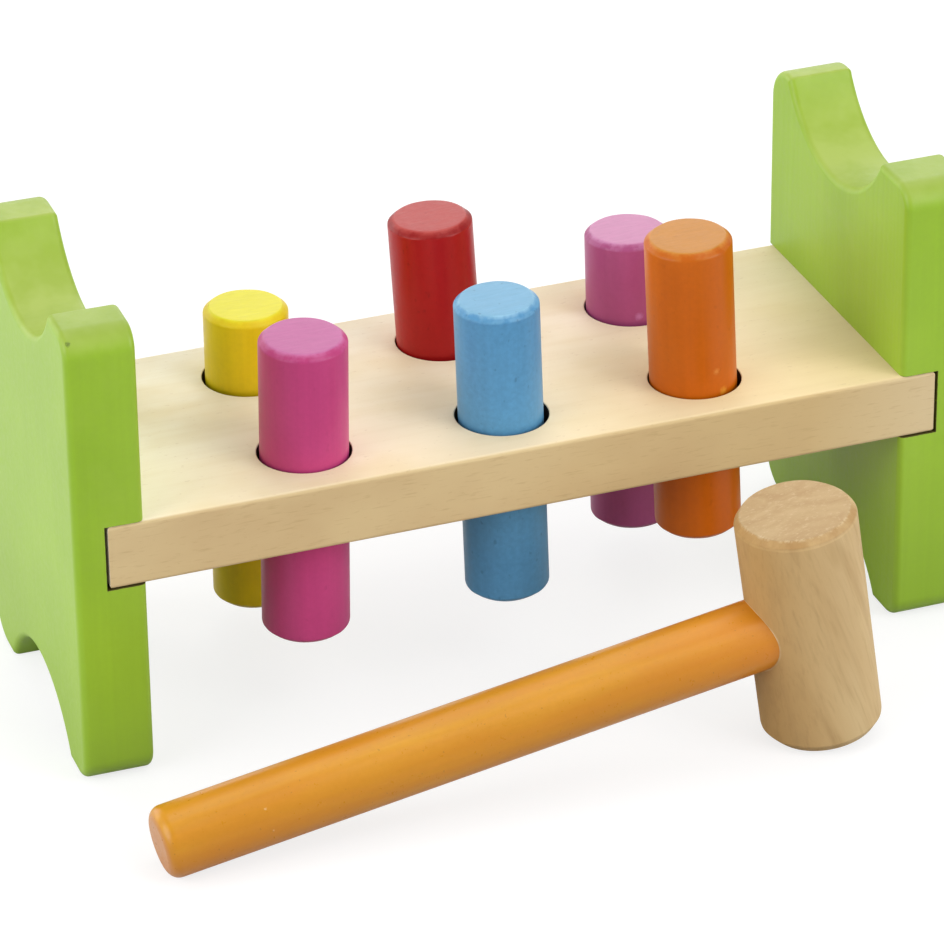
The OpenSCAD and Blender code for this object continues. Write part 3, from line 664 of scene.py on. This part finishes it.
class PanelMesh:
    """A panel from layers and upright strips, so that flat faces stay flat and edges stay round."""

    def __init__(self, name, scoop):
        self.side = -1 if name == "left" else 1
        self.turn = TURN if name == "left" else 0.0
        self.scoop = scoop
        self.rows = panel_rows()
        self.cut = next(i for i, row in enumerate(self.rows) if row[0] == SLOT)
        self.z_low = DECK_LOW - SLOT_UNDER - PANEL_H / 2
        self.z_high = DECK_TOP - PANEL_H / 2
        self.points, self.faces, self.index = [], [], {}

    def put(self, x, y, z):
        """Number of the point that is x out from the inner face, and y back and z up from the middle."""
        key = (round(x, 4), round(y, 4), round(z, 4))
        from_front = y + PANEL_D / 2
        if x == SLOT:
            x += from_front * math.tan(self.turn)
        if key not in self.index:
            self.index[key] = len(self.points)
            c, s = math.cos(self.turn), math.sin(self.turn)
            across, back = x * c - from_front * s, x * s + from_front * c
            self.points.append((self.side * (SPAN / 2 + across), FRONT_Y + back, PANEL_H / 2 + z))
        return self.index[key]

    def face(self, *ids):
        """A face, unless it has shrunk to a line."""
        ids = [v for k, v in enumerate(ids) if v != ids[k - 1]]
        if len(set(ids)) >= 3:
            self.faces.append(tuple(ids))

    def lines(self, inset):
        """The upper and the lower edge of the outline."""
        top, foot = upper_line(inset, self.scoop, HORN_R), upper_line(inset, ARCH, FOOT_R)
        return top, [(y, -z) for y, z in foot]

    def round_the_edge(self):
        """The strips across the thickness, which leave the slot's mouths open."""
        put = self.put
        for k, ((x0, i0), (x1, i1)) in enumerate(zip(self.rows, self.rows[1:])):
            above, below = zip(self.lines(i0), self.lines(i1))
            for a, b in (above, below):
                for p in range(len(a) - 1):
                    self.face(put(x0, *a[p]), put(x1, *b[p]), put(x1, *b[p + 1]), put(x0, *a[p + 1]))
            for e in (0, -1):
                ya, yb = above[0][e][0], above[1][e][0]
                heights = [(above[0][e][1], above[1][e][1]), (self.z_high, self.z_high),
                           (self.z_low, self.z_low), (below[0][e][1], below[1][e][1])]
                for q in range(3):
                    if q == 1 and k < self.cut:
                        continue
                    (ta, tb), (ua, ub) = heights[q:q + 2]
                    self.face(put(x0, ya, ta), put(x1, yb, tb), put(x1, yb, ub), put(x0, ya, ua))

    def flat_face(self, x, inset):
        """The inner face, which the slot parts, or the outer one, which is whole."""
        put, z_high, z_low = self.put, self.z_high, self.z_low
        top, foot = self.lines(inset)
        for p in range(len(top) - 1):
            (ya, za), (yb, zb) = top[p:p + 2]
            self.face(put(x, ya, za), put(x, yb, zb), put(x, yb, z_high), put(x, ya, z_high))
            (ya, za), (yb, zb) = foot[p:p + 2]
            self.face(put(x, ya, z_low), put(x, yb, z_low), put(x, yb, zb), put(x, ya, za))
        if x > 0:
            upper = [put(x, y, z_high) for y, _ in top]
            lower = [put(x, y, z_low) for y, _ in foot]
            self.faces.append(tuple(unique(upper + lower[::-1])))

    def slot_faces(self):
        """The slot's upper wall, lower wall and end wall."""
        put, rows, cut = self.put, self.rows, self.cut
        for z, k in ((self.z_high, 0), (self.z_low, 1)):
            edge = self.lines(rows[0][1])[k]
            front = [put(x, self.lines(i)[0][0][0], z) for x, i in rows[cut:0:-1]]
            back = [put(x, self.lines(i)[0][-1][0], z) for x, i in rows[1:cut + 1]]
            self.faces.append(tuple(unique(front + [put(rows[0][0], y, z) for y, _ in edge] + back)))
        corners = [(-PANEL_D / 2, self.z_low), (PANEL_D / 2, self.z_low),
                   (PANEL_D / 2, self.z_high), (-PANEL_D / 2, self.z_high)]
        self.faces.append(tuple(put(SLOT, y, z) for y, z in corners))


def end_panel(name, scoop):
    panel = PanelMesh(name, scoop)
    panel.round_the_edge()
    for x, inset in (panel.rows[0], panel.rows[-1]):
        panel.flat_face(x, inset)
    panel.slot_faces()
    node = f"{name}_end_panel"
    build(node + "_looks", panel.points, panel.faces, Matrix(), "bench", node,
          PANEL_PAINT[name], PANEL_SHARP)


def unique(ids):
    """The list without what comes again."""
    out = []
    for v in ids:
        if v not in out:
            out.append(v)
    return out


for side_name, side_scoop in SCOOPS.items():
    end_panel(side_name, side_scoop)

# Turned pieces


def turned(name, profile, place, body, node, material, segments, wobble=None):
    """A lathe piece about its own Z: profile is (radius, height), and both its ends are on the axis."""
    points, faces, rings = [], [], []
    for k, (r, h) in enumerate(profile):
        ring = []
        for i in range(segments if r > 0 else 1):
            a = 2 * math.pi * i / segments
            dr, dh = wobble(k, a) if wobble and r > 0 else (0.0, 0.0)
            ring.append(len(points))
            points.append(((r + dr) * math.cos(a), (r + dr) * math.sin(a), h + dh))
        rings.append(ring)
    for a, b in zip(rings, rings[1:]):
        for i in range(segments):
            j = (i + 1) % segments
            if len(a) == 1:
                faces.append((a[0], b[j], b[i]))
            elif len(b) == 1:
                faces.append((a[i], a[j], b[0]))
            else:
                faces.append((a[i], a[j], b[j], b[i]))
    build(name, points, faces, place, body, node, material, TURNED_SHARP)


def waves(seed, size, low=2, high=9):
    """A smooth closed curve of small offsets."""
    rnd = random.Random(seed)
    terms = [(k, rnd.uniform(-1, 1) / k ** 0.5, rnd.uniform(0, 2 * math.pi)) for k in range(low, high)]
    return lambda a: size * sum(c * math.sin(k * a + p) for k, c, p in terms)


def bevelled_end(r, radial, axial, soft):
    """Profile of a flat end with a bevel whose two edges are softened, from the axis out to the side.
    hand_cut counts on these eight points."""
    return [
        (0, 0),
        (r - radial - 3, 0),
        (r - radial - soft, 0),
        (r - radial, soft * 0.18),
        (r - radial + soft * 0.8, soft * 0.75),
        (r - soft * 0.7, axial - soft * 0.6),
        (r - soft * 0.15, axial + soft * 0.3),
        (r, axial + soft * 1.2),
    ]


def rod(r, low, high, radial, axial, soft, parts):
    """Profile of a rod that is bevelled alike at both ends."""
    end = bevelled_end(r, radial, axial, soft)
    body = [(r, low + (high - low) * i / parts) for i in range(1, parts)]
    return [(q, low + h) for q, h in end] + body + [(q, high - h) for q, h in reversed(end)]


def hand_cut(count, seed, inner, outer):
    """Makes the edges of both bevels of a rod wander a little, as sandpaper leaves them. The far end of
    the profile counts back from its last point."""
    edge, rim = waves(seed, inner), waves(seed + 50, outer, 3, 14)
    far_end = {count - 1 - k: k for k in range(8)}
    inner_edge, first_of_rim, rest_of_rim = (2, 3, 4), 5, (6, 7)

    def wobble(k, a):
        k = far_end.get(k, k)
        if k in inner_edge:
            return min(0.0, edge(a)) - abs(rim(a)) * 0.15, 0.0
        if k == first_of_rim:
            return 0.0, rim(a)
        if k in rest_of_rim:
            return 0.0, rim(a) * 0.8
        return 0.0, 0.0

    return wobble


def peg_place(column, row, right, back, aside):
    """Where a peg stands: in its hole, leaning about the middle of the deck board."""
    spot = Vector((HOLES_RIGHT + aside + column * PITCH_X, DECK_Y + row * PITCH_Y / 2, DECK_MID)) * MM
    lean = Matrix.Rotation(math.radians(right), 4, "Y") @ Matrix.Rotation(math.radians(-back), 4, "X")
    return Matrix.Translation(spot) @ lean


def peg(number, colour):
    column, row, rise, right, back, radius, aside = PEGS[colour]
    high = DECK_T / 2 + rise
    profile = rod(radius, high - PEG_LEN, high, PEG_BEVEL, PEG_BEVEL_LEN, BEVEL_SOFT, PEG_PARTS)
    wander = hand_cut(len(profile), 3 * number + 1, *PEG_WANDER[colour])
    place, paint = peg_place(column, row, right, back, aside), peg_paint(colour, high, number)
    node = f"{colour}_peg"
    turned(node + "_looks", profile, place, node, node, paint, PEG_SEGMENTS, wander)


for peg_number, peg_colour in enumerate(PEGS):
    peg(peg_number, peg_colour)

# Hammer

DROP = HEAD_LEN / 2 - HANDLE_R + HANDLE_END
RUN = HANDLE_REACH - HANDLE_END - HEAD_R + HEAD_BEVEL
TILT = math.acos(HANDLE_END / math.hypot(DROP, RUN)) - math.atan2(RUN, DROP)
HAMMER_Z = HEAD_LEN / 2 * math.cos(TILT) + (HEAD_R - HEAD_BEVEL) * math.sin(TILT)
LIE = (Matrix.Translation(Vector((HAMMER_RIGHT, FRONT_Y - HAMMER_FRONT, HAMMER_Z)) * MM)
       @ Matrix.Rotation(math.radians(HAMMER_TURN), 4, "Z") @ Matrix.Rotation(-TILT, 4, "Y"))


def hammer_head():
    half = HEAD_LEN / 2
    profile = rod(HEAD_R - SKIN, -half, half, HEAD_BEVEL, HEAD_CUT, BEVEL_SOFT, HEAD_PARTS)
    wander = hand_cut(len(profile), HEAD_SEED, *HEAD_WANDER)
    turned("hammer_head_looks", profile, LIE, "hammer", "hammer_head", head_wood(),
           HEAD_SEGMENTS, wander)


def hammer_handle():
    """The rod, from the bevelled end in the head's socket to the rounded end outside."""
    side_end = HANDLE_REACH - HANDLE_END
    profile = [(0, -HANDLE_PAST), (HANDLE_R - HANDLE_BEVEL, -HANDLE_PAST)]
    profile += [(HANDLE_R, HANDLE_BEVEL - HANDLE_PAST)]
    profile += [(HANDLE_R, side_end * i / HANDLE_PARTS) for i in range(1, HANDLE_PARTS)]
    profile += arc((HANDLE_R - HANDLE_END, side_end), HANDLE_END, 0, 90, HANDLE_END_STEPS)
    profile += [(0, HANDLE_REACH)]
    place = LIE @ Matrix.Rotation(math.radians(-90), 4, "Y")
    turned("hammer_handle_looks", profile, place, "hammer", "hammer_handle",
           handle_paint(), HANDLE_SEGMENTS)


hammer_head()
hammer_handle()

# CAD nodes that keep their mesh

for name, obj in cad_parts.items():
    if name == "deck_board" or name.endswith("_ring"):
        obj.data.materials.clear()
        obj.data.materials.append(DECK_WOOD if name == "deck_board" else RUBBER)

# Stage, camera and light


def floor_material():
    """White to the camera, with the object's shadow left on it. Nearly white in gloss too, and darker in
    other bounces."""
    s = Shader("floor", built=False)
    path = s.add("ShaderNodeLightPath")
    camera_ray = path.outputs["Is Camera Ray"]
    grit = s.noise(s.scaled((1, 1, 1)), 300.0, 2.0, 0.5)
    dull = s.range(grit, 0.3, 0.7, FLOOR_BOUNCE * 0.98, FLOOR_BOUNCE * 1.02)
    tone = s.mix(path.outputs["Is Glossy Ray"], s.grey(dull), (FLOOR_SHINE,) * 3)
    tone = s.mix(camera_ray, tone, (FLOOR_SHADOW,) * 3)
    s.put(s.bsdf.inputs["Base Color"], tone)
    s.bsdf.inputs["Roughness"].default_value = 0.95
    s.bsdf.inputs["Specular IOR Level"].default_value = 0.0
    s.put(s.bsdf.inputs["Emission Color"], (1.0, 1.0, 1.0))
    glow = s.range(s.vec("LENGTH", s.coords), SHADOWS_FADE, SHADOWS_END, FLOOR_GLOW, 1.0)
    s.put(s.bsdf.inputs["Emission Strength"], s.math("MULTIPLY", camera_ray, glow))
    return s.mat


def make_floor():
    bpy.ops.mesh.primitive_plane_add(size=FLOOR_SIZE, location=(0, 0, 0))
    floor = bpy.context.object
    floor.name = "floor"
    floor.data.materials.append(floor_material())


def make_camera():
    """The camera that was fitted to the photograph, half a pixel off its middle."""
    camera = bpy.data.cameras.new("camera")
    camera.lens = LENS
    camera.sensor_width = FRAME_W
    camera.shift_x = -0.5 / PICTURE_PX
    camera.shift_y = 0.5 / PICTURE_PX
    camera.clip_start = CLIP_NEAR
    camera.clip_end = CLIP_FAR
    obj = bpy.data.objects.new("camera", camera)
    edge = (0, FRONT_Y, DECK_TOP)
    place = Vector([(a + b) * MM for a, b in zip(edge, CAMERA_PLACE)])
    turn = Matrix((CAMERA_RIGHT, CAMERA_UP, -CAMERA_AHEAD)).transposed().to_4x4()
    obj.matrix_world = Matrix.Translation(place) @ turn
    bpy.context.scene.collection.objects.link(obj)
    bpy.context.scene.camera = obj


def lamp(name, place, aim_height, size, power):
    """A square lamp that points at the middle of the set."""
    light = bpy.data.lights.new(name, "AREA")
    light.shape = "SQUARE"
    light.size = size
    light.energy = power
    obj = bpy.data.objects.new(name, light)
    obj.location = place
    aim = Vector((0, 0, aim_height)) - Vector(place)
    obj.rotation_euler = aim.to_track_quat("-Z", "Y").to_euler()
    bpy.context.scene.collection.objects.link(obj)


def make_world():
    """Plain white to the camera, and an even grey that fills the shadows. Reflections see it paler."""
    world = bpy.data.worlds.new("world")
    world.use_nodes = True
    bpy.context.scene.world = world
    nodes, links = world.node_tree.nodes, world.node_tree.links
    nodes.clear()
    background, path = nodes.new("ShaderNodeBackground"), nodes.new("ShaderNodeLightPath")
    shine, level = nodes.new("ShaderNodeMapRange"), nodes.new("ShaderNodeMath")
    background.inputs["Color"].default_value = (1, 1, 1, 1)
    shine.inputs["To Min"].default_value = WORLD_FILL
    shine.inputs["To Max"].default_value = WORLD_SHINE
    level.operation = "MAXIMUM"
    links.new(path.outputs["Is Glossy Ray"], shine.inputs["Value"])
    links.new(shine.outputs[0], level.inputs[0])
    links.new(path.outputs["Is Camera Ray"], level.inputs[1])
    links.new(level.outputs[0], background.inputs["Strength"])
    links.new(background.outputs[0], nodes.new("ShaderNodeOutputWorld").inputs["Surface"])


make_floor()
make_camera()
for lamp_name, lamp_values in LAMPS.items():
    lamp(lamp_name, *lamp_values)
make_world()

bpy.context.scene.view_settings.view_transform = "Standard"
